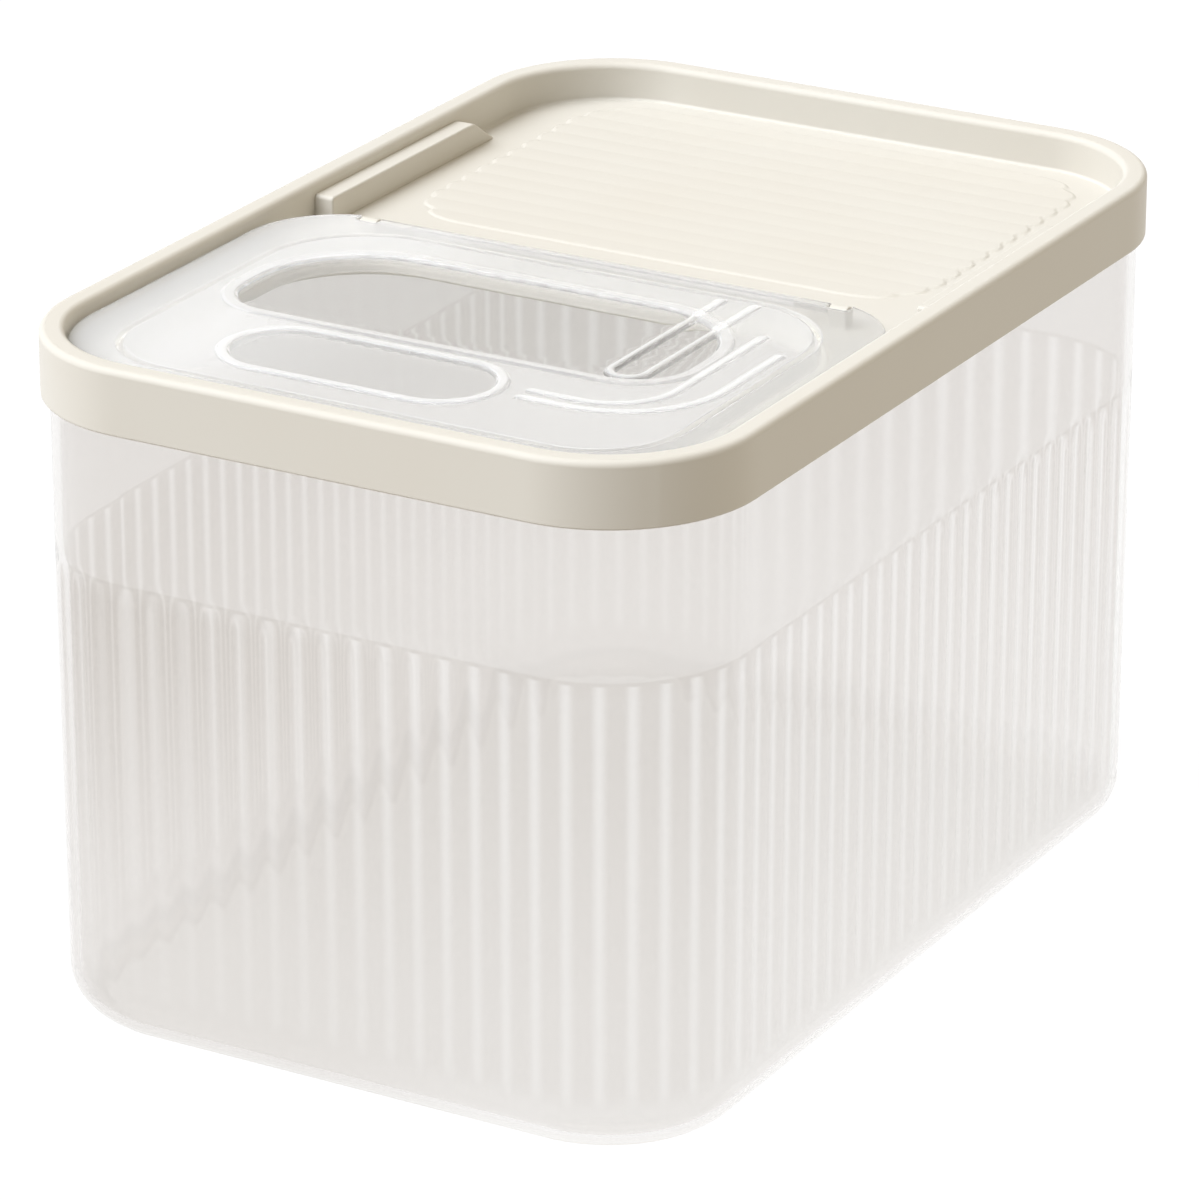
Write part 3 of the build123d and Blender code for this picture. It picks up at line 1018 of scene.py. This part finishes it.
@dataclass
class LidFrame:
    """The cream lid frame: skirt, rim, deck, ribbed field, opening lip, ledges and lugs."""

    half_x: float = 113.0
    half_y: float = 165.0
    corner_r: float = 46.0
    top_z: float = 212.0
    skirt_z: float = 192.0
    skirt_wall: float = 2.2
    skirt_r: float = 0.7
    rim_outer: float = 5.3
    rim_inner: float = 7.5
    roof_z: float = 209.8
    channel_r: float = 0.3
    deck_z: float = 200.0
    deck_under_z: float = 197.5
    rim_r: float = 2.0
    rim_bend: float = 0.25
    foot_r: float = 1.0
    opening: Box = (-93.0, 93.0, -149.0, -11.0)
    opening_r: tuple[float, float] = (30.0, 36.0)
    lip_z: float = 192.3
    lip_wall: float = 2.0
    lip_edge_r: float = 0.9
    lip_foot_r: float = 0.6
    ribbed: Box = (-88.0, 88.0, 21.0, 151.0)
    ribbed_r: float = 24.0
    ribs: int = 14
    rib_height: float = 0.5
    rib_round: float = 0.25
    rib_marks: tuple[float, ...] = (0.0, 0.06, 0.18, 0.34, 0.5, 0.66, 0.82, 0.94)
    rib_edge: tuple[float, float] = (-0.5, 1.0)
    scallop: float = 2.4
    border_step: float = 1.2
    border_loops: tuple[float, float, float] = (0.0, 4.1, 0.4)
    rib_step: float = 6.0
    row_ends: tuple[float, float] = (2.0, 1.0)
    row_inset: float = 4.3
    plain_gap: float = 3.0
    ledge_y: tuple[float, float] = (4.0, 100.0)
    ledge_top_z: float = 208.0
    ledge_taper: float = 12.0
    ledge_width: float = 6.5
    ledge_edge_r: float = 0.7
    ledge_radii: tuple[float, ...] = (0.2, 0.2, 1.5, 5.0, 1.2)
    ledge_step: float = 4.0
    sunk: float = 1.0
    barrel_half: float = 75.9
    barrel_r: float = 2.4
    lug_gap: float = 0.5
    lug_width: float = 6.0
    lug_edge_r: float = 0.5
    lug_foot_r: float = 0.2
    lug_step: float = 1.0
    bore_step: float = 0.5
    pin_r: float = 1.2
    hinge_y: float = -6.0
    hinge_z: float = 205.5
    step: float = 3.0
    deck_step: float = 12.0
    under_step: float = 14.0

    def plan_box(self) -> Box:
        """The lid's box in plan."""
        return (-self.half_x, self.half_x, -self.half_y, self.half_y)

    def field_height(self, spots: np.ndarray) -> np.ndarray:
        """Gives the deck's height, with low round ribs across the rear field.

        Args:
            spots: Plan points.

        Returns:
            The height at each.
        """
        _, _, front, back = self.ribbed
        outline = Outline.rounded(self.ribbed, self.ribbed_r, self.ribbed_r, self.step)
        part = np.mod((spots[:, 1] - front) / ((back - front) / self.ribs), 1.0)
        round_top = 1 - (2 * part - 1) ** 2
        to_edge = signed(spots, outline.points) + self.scallop * (1 - round_top)
        rise = 1 - self.rib_round + self.rib_round * round_top
        return self.deck_z + self.rib_height * rise * falls(to_edge, *self.rib_edge)

    def deck_filling(self) -> np.ndarray:
        """Lays the deck's plan points in rows along the ribs and loops round the field.

        Returns:
            The points.
        """
        left, right, front, back = self.ribbed
        outline = Outline.rounded(self.ribbed, self.ribbed_r, self.ribbed_r, self.border_step)
        loops = [outline.drawn_in(inset) for inset in np.arange(*self.border_loops)]
        pitch = (back - front) / self.ribs
        across = np.arange(left + self.row_ends[0], right - self.row_ends[1], self.rib_step)
        marks = [index + part for index in range(self.ribs) for part in self.rib_marks]
        spots = np.array([(x, front + pitch * mark) for mark in marks for x in across])
        spots = spots[signed(spots, outline.points) < -self.row_inset]
        plain = grid(self.plan_box(), self.deck_step)
        plain = plain[signed(plain, outline.points) > self.plain_gap]
        return np.concatenate([*loops, spots, plain])

    def build(self, cream: bpy.types.Material) -> list[bpy.types.Object]:
        """Makes the frame, its ledges and its lugs.

        Args:
            cream: The cream plastic.

        Returns:
            The objects made.
        """
        rim = Outline.rounded(self.plan_box(), self.corner_r, self.corner_r, self.step)
        mouth = Outline.rounded(self.opening, *self.opening_r, self.step)
        section = [
            (self.rim_outer, self.deck_under_z, 0),
            (self.rim_outer, self.roof_z, self.channel_r),
            (self.skirt_wall, self.roof_z, self.channel_r),
            (self.skirt_wall, self.skirt_z, self.skirt_r),
            (0.0, self.skirt_z, self.skirt_r),
            (0.0, self.top_z, self.rim_r),
            (self.rim_inner, self.top_z, self.rim_r),
            (self.rim_inner, self.deck_z, self.foot_r),
            (self.rim_inner + self.foot_r, self.deck_z, 0),
        ]
        lip = [
            (-self.lip_edge_r, self.deck_z, 0),
            (0.0, self.deck_z, self.lip_edge_r),
            (0.0, self.lip_z, self.lip_foot_r),
            (-self.lip_wall, self.lip_z, self.lip_foot_r),
            (-self.lip_wall, self.deck_under_z, 0),
        ]
        shape = Moulding()
        rims = shape.sweep(rim, fillet_profile(section, closed=False, bend=self.rim_bend))
        lips = shape.sweep(mouth, fillet_profile(lip, closed=False))
        shape.sheet([rims[-1], lips[0]], self.deck_filling(), self.field_height, up=True)
        below = grid(self.plan_box(), self.under_step)
        shape.sheet([rims[0], lips[-1]], below, flat_at(self.deck_under_z), up=False)
        frame = shape.build("lid_frame_moulding")
        made = [frame]
        for side in (-1, 1):
            made.append(self.build_ledge(side))
            made.append(self.build_lug(side))
        for thing in made:
            thing.data.materials.append(cream)
            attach(thing, Body.LID.value)
        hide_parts("lid_frame")
        return made

    def build_ledge(self, side: int) -> bpy.types.Object:
        """Makes a stacking ledge along the rim's inner wall, sloped down at its back end.

        Args:
            side: Minus one for the left ledge and one for the right.

        Returns:
            The ledge.
        """
        front, back = self.ledge_y
        corners = [
            (front, self.deck_z - self.sunk),
            (back, self.deck_z - self.sunk),
            (back, self.deck_z),
            (back - self.ledge_taper, self.ledge_top_z),
            (front, self.ledge_top_z),
        ]
        face = Outline.filleted(corners, self.ledge_radii, self.ledge_step)
        reach = self.ledge_width + self.sunk
        start = self.half_x - self.rim_inner + self.sunk - reach
        return self.slab("ledge", side, face, start, reach, self.ledge_edge_r, [])

    def build_lug(self, side: int) -> bpy.types.Object:
        """Makes a hinge lug beside the end of the flip lid's barrel.

        Args:
            side: Minus one for the left lug and one for the right.

        Returns:
            The lug.
        """
        y, z, r, pin = self.hinge_y, self.hinge_z, self.barrel_r, self.pin_r
        foot_z = self.deck_z - self.sunk
        corners = [(y - r, foot_z), (y + r, foot_z), (y + r, z + r), (y - r, z + r)]
        low_r, top_r, bore_r = self.lug_foot_r, r - ROUND_GAP, pin - ROUND_GAP
        face = Outline.filleted(corners, [low_r, low_r, top_r, top_r], self.lug_step)
        box = (y - pin, y + pin, z - pin, z + pin)
        bore = Outline.rounded(box, bore_r, bore_r, self.bore_step)
        start = self.barrel_half + self.lug_gap
        return self.slab("hinge_lug", side, face, start, self.lug_width, self.lug_edge_r, [bore])

    def slab(
        self,
        name: str,
        side: int,
        face: Outline,
        start: float,
        thick: float,
        r: float,
        bores: list[Outline],
    ) -> bpy.types.Object:
        """Makes a side-on outline solid across the width, with soft edges.

        Args:
            name: The piece's name, without its side.
            side: Minus one for left and one for right.
            face: The outline in length and height.
            start: Distance of its inner face from the middle.
            thick: Its thickness.
            r: The radius of its edges.
            bores: Holes through it.

        Returns:
            The piece.
        """
        bend = r * EDGE_SHARE
        section = [(r, 0.0, 0), (0.0, 0.0, bend), (0.0, thick, bend), (r, thick, 0)]
        shape = Moulding()
        rings = shape.sweep(face, fillet_profile(section, closed=False))
        lows = [shape.add(bore.ring(0, 0.0)) for bore in bores]
        highs = [shape.add(bore.ring(0, thick)) for bore in bores]
        for low, high in zip(lows, highs):
            shape.skin([high, low])
        filler = np.zeros((0, 2)) if bores else face.points.mean(axis=0)[None, :]
        shape.sheet([rings[0], *lows], filler, flat_at(0.0), up=False)
        shape.sheet([rings[-1], *highs], filler, flat_at(thick), up=True)
        where = start if side > 0 else -start - thick
        matrix = Matrix(((0, 0, 1, where), (1, 0, 0, 0), (0, 1, 0, 0), (0, 0, 0, 1)))
        return shape.build(f"{name}_{'right' if side > 0 else 'left'}", matrix)


@dataclass
class FlipLid:
    """The clear flip lid: plate with raised relief, hinge barrel, plug ring."""

    half_x: float = 104.7
    front_y: float = -156.7
    back_y: float = -3.6
    front_r: float = 37.7
    back_r: float = 30.0
    top_z: float = 208.0
    under_z: float = 205.6
    edge_r: float = 0.8
    under_edge: tuple[float, float] = (0.3, 0.28)
    window: Box = (-80.0, 68.0, -92.0, -33.0)
    window_r: tuple[float, float] = (17.0, 33.0)
    window_depth: float = 0.6
    ridge_width: float = 4.0
    ridge_height: float = 0.5
    pad_centre: tuple[float, float] = (-14.0, -117.5)
    pad_size: tuple[float, float] = (90.0, 38.0)
    pad_ridge: float = 3.2
    pad_height: float = 0.7
    pad_depth: float = 0.4
    rib_width: float = 2.6
    rib_height: float = 0.5
    hairpin: tuple[float, float] = (53.5, -84.0)
    hairpin_spread: float = 5.5
    hairpin_back: float = -20.0
    hairpin_points: int = 17
    bent_rib: tuple[float, float] = (73.5, -112.0)
    bent_r: float = 20.0
    bent_pitch: float = 11.5
    bent_back: float = -42.0
    bent_left: float = 38.0
    bent_points: int = 19
    opening: Box = (-93.0, 93.0, -149.0, -11.0)
    opening_r: tuple[float, float] = (30.0, 36.0)
    plug_inset: float = 2.5
    plug_wall: float = 2.0
    plug_z: float = 194.6
    plug_root_r: float = 0.6
    plug_foot_r: float = 0.5
    seal_z: tuple[float, float] = (196.6, 199.4)
    seal_inset: float = 0.5
    seal_r: tuple[float, float] = (0.6, 0.1)
    groove: float = 0.8
    barrel_half: float = 75.9
    barrel_r: float = 2.4
    # distance from the barrel's end, and the radius there
    barrel_end: Pairs = ((0.0, 1.2), (0.0, 2.0), (0.1, 2.28), (0.4, 2.4))
    barrel_points: int = 32
    hinge_y: float = -6.0
    hinge_z: float = 205.5
    lug_gap: float = 0.5
    lug_width: float = 6.0
    lug_front_gap: float = 0.6
    notch_edge: float = 0.6
    notch_radii: tuple[float, ...] = (0.4, 0.9, 0.9, 0.9)
    soft: float = 1.6
    step: float = 2.5
    detail_step: float = 1.5
    rib_step: float = 1.3
    end_fan: float = 1.3
    end_points: int = 7
    top_step: float = 6.0
    under_step: float = 8.0
    window_clearance: float = 6.0
    pad_clearance: float = 4.5
    rib_clearance: float = 2.6
    haze_soft: float = 1.0
    plain_haze: float = 0.35
    # painted light: the plain plate is made milkier and lighter towards its left side
    painted_left_light: float = 0.3
    painted_left_light_x: tuple[float, float] = (-50.0, 60.0)
    pad_clear: float = 0.95
    window_ring_haze: float = 0.4
    pad_ring_haze: float = 0.7
    rib_haze: float = 0.85
    plug_haze: float = 0.8
    barrel_haze: float = 0.5
    seal_haze: float = 0.5

    def rib_paths(self) -> list[np.ndarray]:
        """Draws the centre lines of the hairpin rib and the two bent ribs.

        Returns:
            The points of each line.
        """
        (x, front), spread, back = self.hairpin, self.hairpin_spread, self.hairpin_back
        bend = np.linspace(math.pi, 2 * math.pi, self.hairpin_points)
        turn = np.column_stack([x + spread * np.cos(bend), front + spread * np.sin(bend)])
        paths = [np.vstack([(x - spread, back), turn, (x + spread, back)])]
        bend = np.linspace(0, -math.pi / 2, self.bent_points)
        for grow in (0.0, self.bent_pitch):
            r = self.bent_r + grow
            x, y = self.bent_rib[0] + grow, self.bent_rib[1] - grow / 2
            turn = np.column_stack([x - r + r * np.cos(bend), y + r + r * np.sin(bend)])
            paths.append(np.vstack([(x, self.bent_back - grow), turn, (self.bent_left, y)]))
        return paths

    def outlines(self) -> tuple[Outline, Outline]:
        """Draws the edges of the window and the grip pad.

        Returns:
            The window's outline and the pad's.
        """
        window = Outline.rounded(self.window, *self.window_r, self.detail_step)
        (x, y), (length, breadth) = self.pad_centre, self.pad_size
        r = breadth / 2 - ROUND_GAP
        box = (x - length / 2, x + length / 2, y - breadth / 2, y + breadth / 2)
        return window, Outline.rounded(box, r, r, self.detail_step)

    def top_height(self, spots: np.ndarray) -> np.ndarray:
        """Gives the height of the plate's top with its relief.

        Args:
            spots: Plan points.

        Returns:
            The height at each.
        """
        window, pad = self.outlines()
        to_window = signed(spots, window.points)
        to_pad = signed(spots, pad.points)
        sunk = falls(to_window, 0, self.soft)
        ridge = falls(to_window, self.ridge_width, self.soft) - sunk
        height = self.top_z - self.window_depth * sunk + self.ridge_height * ridge
        inner = falls(to_pad, -self.pad_ridge, self.soft)
        height += self.pad_height * (falls(to_pad, 0, self.soft) - inner)
        height -= self.pad_depth * inner
        for path in self.rib_paths():
            near = falls(distance(spots, path, False), self.rib_width / 2, self.soft)
            height = height * (1 - near) + (self.top_z + self.rib_height) * near
        return height

    def plate_haze_and_painted_light(self, spots: np.ndarray) -> np.ndarray:
        """Haze of the plain plate, with painted light that makes it milkier and lighter towards
        its left side.
        """
        return self.plain_haze + self.painted_left_light * falls(spots[:, 0], *self.painted_left_light_x)

    def top_haze(self, spots: np.ndarray) -> np.ndarray:
        """Gives the haze of the plate's top: clear in the window and pad, milky on the relief.

        Args:
            spots: Plan points.

        Returns:
            The haze at each.
        """
        window, pad = self.outlines()
        to_window = signed(spots, window.points)
        to_pad = signed(spots, pad.points)
        soft = self.haze_soft
        in_window, in_pad = falls(to_window, 0, soft), falls(to_pad, -self.pad_ridge, soft)
        haze = self.plate_haze_and_painted_light(spots) * (1 - np.maximum(in_window, self.pad_clear * in_pad))
        raised = self.window_ring_haze * (falls(to_window, self.ridge_width, soft) - in_window)
        raised += self.pad_ring_haze * (falls(to_pad, 0, soft) - in_pad)
        for path in self.rib_paths():
            to_rib = distance(spots, path, False)
            raised += self.rib_haze * falls(to_rib, self.rib_width / 2, soft)
        return haze + (1 - haze) * np.clip(raised, 0, 1)

    def wall_haze(self, spots: np.ndarray) -> np.ndarray:
        """Haze of the plug, which starts as the plate's own where the two meet."""
        at_plate = spots[:, 2] > self.under_z - ROUND_GAP
        return np.where(at_plate, self.plate_haze_and_painted_light(spots), self.plug_haze)

    def under_haze(self, spots: np.ndarray) -> np.ndarray:
        """Gives the haze of the plate's underside, which is clear under the window.

        Args:
            spots: Plan points.

        Returns:
            The haze at each.
        """
        window, _ = self.outlines()
        in_window = falls(signed(spots, window.points), 0, self.haze_soft)
        return self.plate_haze_and_painted_light(spots) * (1 - in_window)

    def filling(self) -> np.ndarray:
        """Lays the top's plan points in loops that follow each edge of the relief.

        Returns:
            The points.
        """
        window, pad = self.outlines()
        steps = np.linspace(-0.5, 0.5, 5) * self.soft
        loops = [window.drawn_in(-at) for at in steps]
        loops += [window.drawn_in(-(self.ridge_width + at)) for at in steps]
        loops += [pad.drawn_in(-at) for at in steps]
        loops += [pad.drawn_in(self.pad_ridge - at) for at in steps]
        fan = np.linspace(-self.end_fan, self.end_fan, self.end_points)
        paths = self.rib_paths()
        for path in paths:
            run = np.concatenate([[0], np.cumsum(np.hypot(*np.diff(path, axis=0).T))])
            marks = np.linspace(0, run[-1], int(run[-1] / self.rib_step))
            spots = np.column_stack([np.interp(marks, run, path[:, i]) for i in (0, 1)])
            heading = np.gradient(spots, axis=0)
            heading /= np.hypot(*heading.T)[:, None]
            side = np.column_stack([heading[:, 1], -heading[:, 0]])
            for at in steps:
                reach = self.rib_width / 2 + at
                loops += [spots + side * reach, spots - side * reach]
                for end, way in ((spots[0], -heading[0]), (spots[-1], heading[-1])):
                    loops.append(end + turned(way[0], way[1], fan) * reach)
        plain = grid((-self.half_x, self.half_x, self.front_y, self.back_y), self.top_step)
        clear = distance(plain, window.points, True) > self.window_clearance
        clear &= distance(plain, pad.points, True) > self.pad_clearance
        for path in paths:
            clear &= distance(plain, path, False) > self.rib_clearance
        return np.concatenate([*loops, plain[clear]])

    def plate_outline(self) -> Outline:
        """Draws the plate's outline, with a notch for each hinge lug in its back edge.

        Returns:
            The outline.
        """
        inner = self.barrel_half
        outer = self.barrel_half + 2 * self.lug_gap + self.lug_width
        deep = self.hinge_y - self.barrel_r - self.lug_front_gap
        centre_x, centre_y = self.half_x - self.back_r, self.back_y - self.back_r
        end_x = outer + self.notch_edge
        angle = math.acos((end_x - centre_x) / self.back_r)
        end_y = centre_y + self.back_r * math.sin(angle)
        reach = (self.half_x - end_x) / math.sin(angle)
        corners: Section = [
            (-self.half_x, self.front_y),
            (self.half_x, self.front_y),
            (self.half_x, end_y - reach * math.cos(angle)),
            (outer, end_y + self.notch_edge * math.cos(angle)),
            (outer, deep),
            (inner, deep),
            (inner, self.hinge_y),
        ]
        radii = [self.front_r, self.front_r, self.back_r, *self.notch_radii]
        corners += [(-x, y) for x, y in reversed(corners[2:])]
        radii += list(reversed(radii[2:]))
        return Outline.filleted(corners, radii, self.step)

    def add_barrel(self, shape: Moulding) -> None:
        """Adds the hinge barrel, which runs along the middle of the plate's back edge.

        Args:
            shape: The lid's moulding.
        """
        turn = np.linspace(0, 2 * math.pi, self.barrel_points + 1)[:-1]
        section = [(self.barrel_half - inset, r) for inset, r in self.barrel_end]
        section += [(-x, r) for x, r in reversed(section)]
        rings = []
        for x, r in section:
            y, z = self.hinge_y + r * np.cos(turn), self.hinge_z + r * np.sin(turn)
            ring = np.column_stack([np.full(len(turn), x), y, z])
            rings.append(shape.add(ring, self.barrel_haze))
        shape.skin(rings[::-1])
        shape.cap(rings[0], up=True)
        shape.cap(rings[-1], up=False)

    def add_plug(self, shape: Moulding, mouth: Outline) -> list[np.ndarray]:
        """Adds the plug ring, with a groove for its seal.

        Args:
            shape: The lid's moulding.
            mouth: The opening's outline.

        Returns:
            Numbers of each ring's points.
        """
        outer, inner = self.plug_inset, self.plug_inset + self.plug_wall
        deep, root, foot = outer + self.groove, self.plug_root_r, self.plug_foot_r
        low, high = self.seal_z
        plug = [
            (outer - root, self.under_z, 0),
            (outer, self.under_z, root),
            (outer, high, 0),
            (deep, high, 0),
            (deep, low, 0),
            (outer, low, 0),
            (outer, self.plug_z, foot),
            (inner, self.plug_z, foot),
            (inner, self.under_z, root),
            (inner + root, self.under_z, 0),
        ]
        rings = shape.sweep(mouth, fillet_profile(plug, closed=False), haze=self.wall_haze)
        # the section runs down outside and up inside, so its faces are turned over
        count = len(rings) - 1
        shape.faces[-count:] = [block[:, ::-1] for block in shape.faces[-count:]]
        return rings

    def build(
        self, clear: bpy.types.Material, silicone: bpy.types.Material
    ) -> list[bpy.types.Object]:
        """Makes the flip lid and the seal round its plug.

        Args:
            clear: The clear plastic.
            silicone: The seal's material.

        Returns:
            The lid and the seal.
        """
        mouth = Outline.rounded(self.opening, *self.opening_r, self.step)
        shape = Moulding()
        under_in, under_r = self.under_edge
        edge = [
            (under_in, self.under_z, 0),
            (0.0, self.under_z, under_r),
            (0.0, self.top_z, self.edge_r),
            (self.edge_r, self.top_z, 0),
        ]
        section = fillet_profile(edge, closed=False)
        plate = shape.sweep(self.plate_outline(), section, haze=self.plate_haze_and_painted_light)
        plug = self.add_plug(shape, mouth)
        shape.sheet([plate[-1]], self.filling(), self.top_height, up=True, haze=self.top_haze)
        window, pad = self.outlines()
        below = [
            grid((-self.half_x, self.half_x, self.front_y, self.back_y), self.under_step),
            window.drawn_in(0.0),
            window.drawn_in(self.haze_soft),
            pad.drawn_in(self.pad_ridge - self.haze_soft / 2),
            pad.drawn_in(self.pad_ridge + self.haze_soft / 2),
        ]
        under = np.concatenate(below)
        flat = flat_at(self.under_z)
        shape.sheet([plate[0], plug[0]], under, flat, up=False, haze=self.under_haze)
        self.add_barrel(shape)
        shape.sheet([plug[-1]], under, flat, up=False, haze=self.under_haze)
        lid = shape.build("flip_lid_moulding")
        lid.data.materials.append(clear)
        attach(lid, Body.FLIP.value)
        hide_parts("flip_lid")
        return [lid, self.build_seal(mouth, silicone)]

    def build_seal(self, mouth: Outline, silicone: bpy.types.Material) -> bpy.types.Object:
        """Makes the seal round the plug.

        Args:
            mouth: The opening's outline.
            silicone: The seal's material.

        Returns:
            The seal.
        """
        (low, high), (lip_r, back_r) = self.seal_z, self.seal_r
        deep = self.plug_inset + self.groove
        section = [
            (self.seal_inset, low, lip_r),
            (self.seal_inset, high, lip_r),
            (deep, high, back_r),
            (deep, low, back_r),
        ]
        ring = Moulding()
        ring.sweep(mouth, fillet_profile(section, closed=True), closed=True, haze=self.seal_haze)
        seal = ring.build("flip_lid_seal")
        seal.data.materials.append(silicone)
        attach(seal, Body.FLIP.value)
        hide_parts("flip_seal")
        return seal


@dataclass
class LidSeal:
    """The soft ring in the lid's channel that sits on the tub's edge."""

    half_x: float = 113.0
    half_y: float = 165.0
    corner_r: float = 46.0
    outer: float = 2.3
    inner: float = 5.2
    low_z: float = 206.3
    high_z: float = 209.8
    low_r: float = 0.5
    high_r: float = 0.1
    haze: float = 0.5
    step: float = 3.0

    def build(self, silicone: bpy.types.Material) -> bpy.types.Object:
        """Makes the seal.

        Args:
            silicone: Its material.

        Returns:
            The seal.
        """
        box = (-self.half_x, self.half_x, -self.half_y, self.half_y)
        outline = Outline.rounded(box, self.corner_r, self.corner_r, self.step)
        section = [
            (self.outer, self.low_z, self.low_r),
            (self.outer, self.high_z, self.high_r),
            (self.inner, self.high_z, self.high_r),
            (self.inner, self.low_z, self.low_r),
        ]
        shape = Moulding()
        shape.sweep(outline, fillet_profile(section, closed=True), closed=True, haze=self.haze)
        seal = shape.build("lid_rim_seal")
        seal.data.materials.append(silicone)
        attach(seal, Body.LID.value)
        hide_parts("lid_seal")
        return seal


@dataclass(frozen=True)
class HingePins:
    """The two pins, which keep their CAD mesh."""

    names: tuple[str, str] = ("hinge_pin_left", "hinge_pin_right")

    def dress(self, nodes: dict[str, bpy.types.Object], cream: bpy.types.Material) -> None:
        """Gives the pins their material.

        Args:
            nodes: The CAD nodes by name.
            cream: The cream plastic.
        """
        for name in self.names:
            materials = nodes[name].data.materials
            materials.clear()
            materials.append(cream)
            log.info("dressed %s", name)


def main() -> None:
    """Builds the studio and the bin."""
    logging.basicConfig(level=logging.INFO, format="%(message)s")
    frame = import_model()
    Studio().build()
    cream = CreamPolypropylene().build()
    # polished polystyrene, nearly free of milk: the eye sees both walls and their flutes
    # its tint is lightened where the tub's haze carries painted light and shade
    tub = ClearPlastic("clear_moulded_polystyrene_tub", "#DEDAD6", "#FFFFFF").build()
    # the same on the foot, where it hardly bends light: the real index led light along the
    # base, which showed as a dark line
    # the foot's tint is a little darker than the tub's: painted shade that dims the base
    name = "clear_moulded_polystyrene_foot"
    foot = ClearPlastic(name, "#DAD6D2", "#FAF8F5", ior=1.01).build()
    # the flip lid's polystyrene is milky and satin on its relief and clear in its window
    name = "clear_moulded_polystyrene_lid"
    clear = ClearPlastic(name, "#EEEDEB", "#F7F7F6", 0.02, 0.45, 0.01, 0.3).build()
    # silicone rubber looks cloudy and dull
    name = "translucent_moulded_silicone"
    silicone = ClearPlastic(name, "#F4F2EC", "#F4F2EC", 0.3, 0.7, 0.3, 0.45).build()
    BinBody().build(tub, foot)
    LidFrame().build(cream)
    FlipLid().build(clear, silicone)
    LidSeal().build(silicone)
    HingePins().dress(frame["nodes"], cream)


if __name__ == "__main__":
    main()
